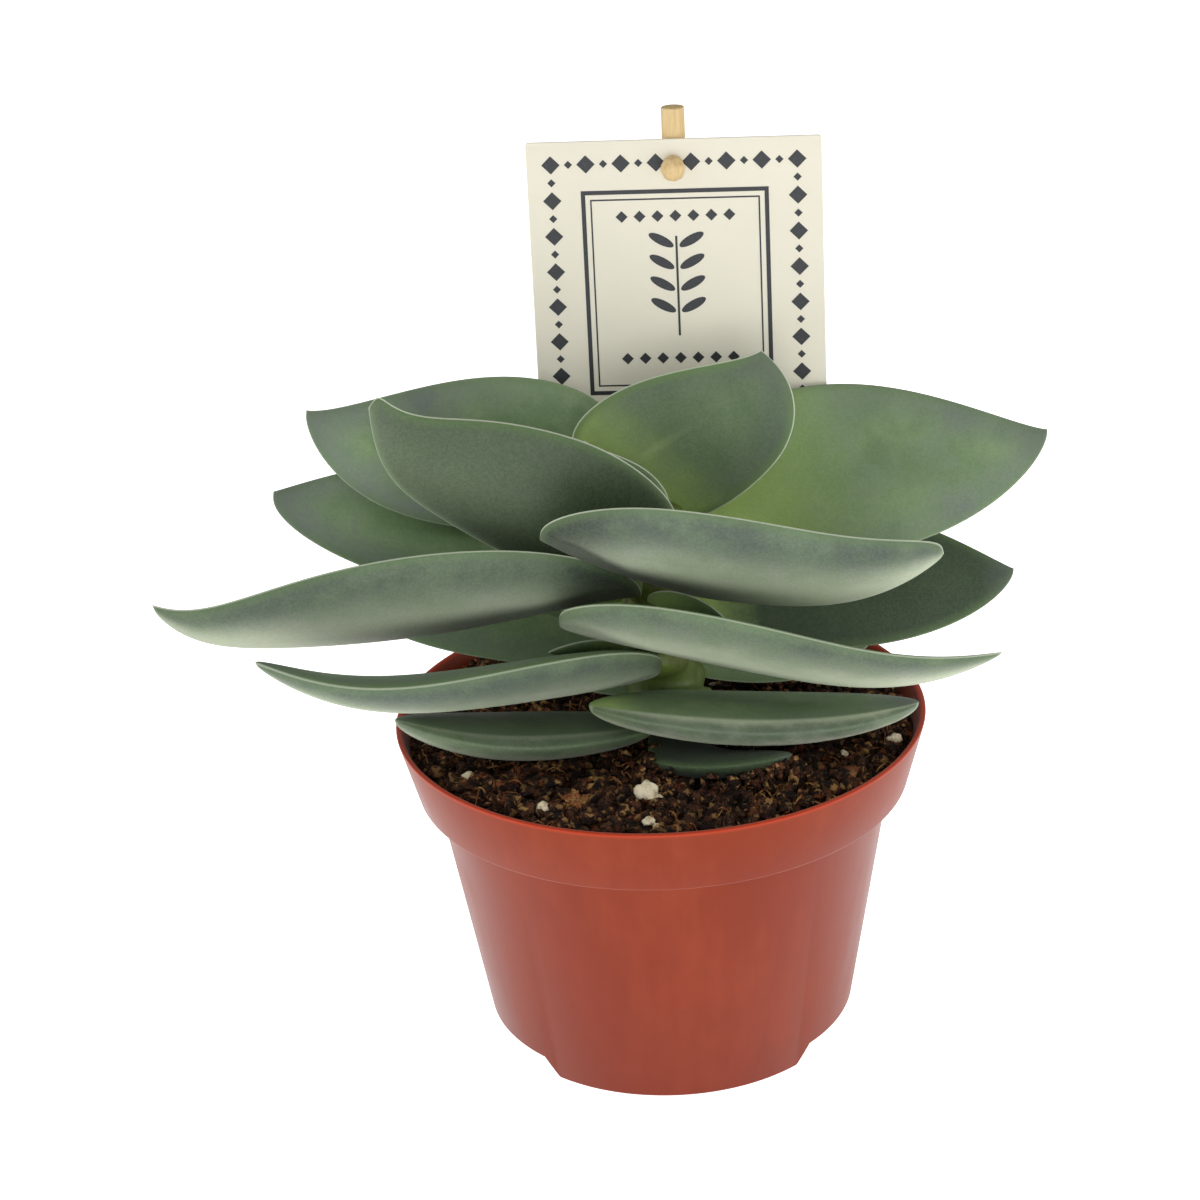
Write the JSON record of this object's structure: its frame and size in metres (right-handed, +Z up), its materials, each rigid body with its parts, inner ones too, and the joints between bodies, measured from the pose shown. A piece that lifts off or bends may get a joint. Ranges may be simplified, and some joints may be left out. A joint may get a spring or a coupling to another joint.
{
  "type": "potted boomerang crassula",
  "caption": "Succulent with thick, flat, sickle-shaped grey-green leaves fanned to both sides, in a round plastic nursery pot with a blank card label on a wooden stick.",
  "frame": {"origin": "on the ground under the middle of the whole plant's box; the pot's axis stands 9 mm towards +X of it, because the leaves reach further to the left", "axes": "+Z up, -Y the front with the grey outer leaf faces, the leaves fan out along X, the label stands towards +Y"},
  "size_m": [0.198, 0.12, 0.205],
  "materials": {
    "pot_plastic": "injection-moulded polypropylene in terracotta red-brown, satin, with a faint mould texture",
    "potting_soil": "moist dark peat and bark mix with chips and off-white grains, fully matte",
    "stem": "smooth fleshy yellow-green stem, satin",
    "leaf_outer": "waxy grey-green bloom with fine pale speckle and a pale margin, matte to satin",
    "leaf_inner": "darker green inner face with fine pale speckle and a pale margin, satin",
    "young_leaf": "fresh yellow-green, thin, with a pale margin, satin",
    "label_wood": "bare light birch, sanded, with fine lengthwise grain",
    "label_card": "uncoated cream card with a thin printed frame in dark ink"
  },
  "bodies": {
    "root": {"pot": "pot_plastic", "soil": "potting_soil", "stem": "stem", "leaf_front_left_4": "leaf_outer", "leaf_front_left_3": "leaf_outer", "leaf_front_left_2": "leaf_outer", "leaf_front_left_1": "leaf_outer", "leaf_front_right_4": "leaf_outer", "leaf_front_right_3": "leaf_outer", "leaf_front_right_2": "leaf_outer", "leaf_front_right_1": "leaf_outer", "leaf_back_left_4": "leaf_inner", "leaf_back_left_3": "leaf_inner", "leaf_back_left_2": "leaf_inner", "leaf_back_left_1": "leaf_inner", "leaf_back_right_4": "leaf_inner", "leaf_back_right_3": "leaf_inner", "leaf_back_right_2": "leaf_inner", "leaf_back_right_1": "leaf_inner", "young_leaf": "young_leaf", "shoot_leaf_1": "young_leaf", "shoot_leaf_2": "young_leaf", "shoot_leaf_3": "young_leaf", "label_stick": "label_wood", "label_peg": "label_wood", "label_card": "label_card"}
  },
  "joints": []
}
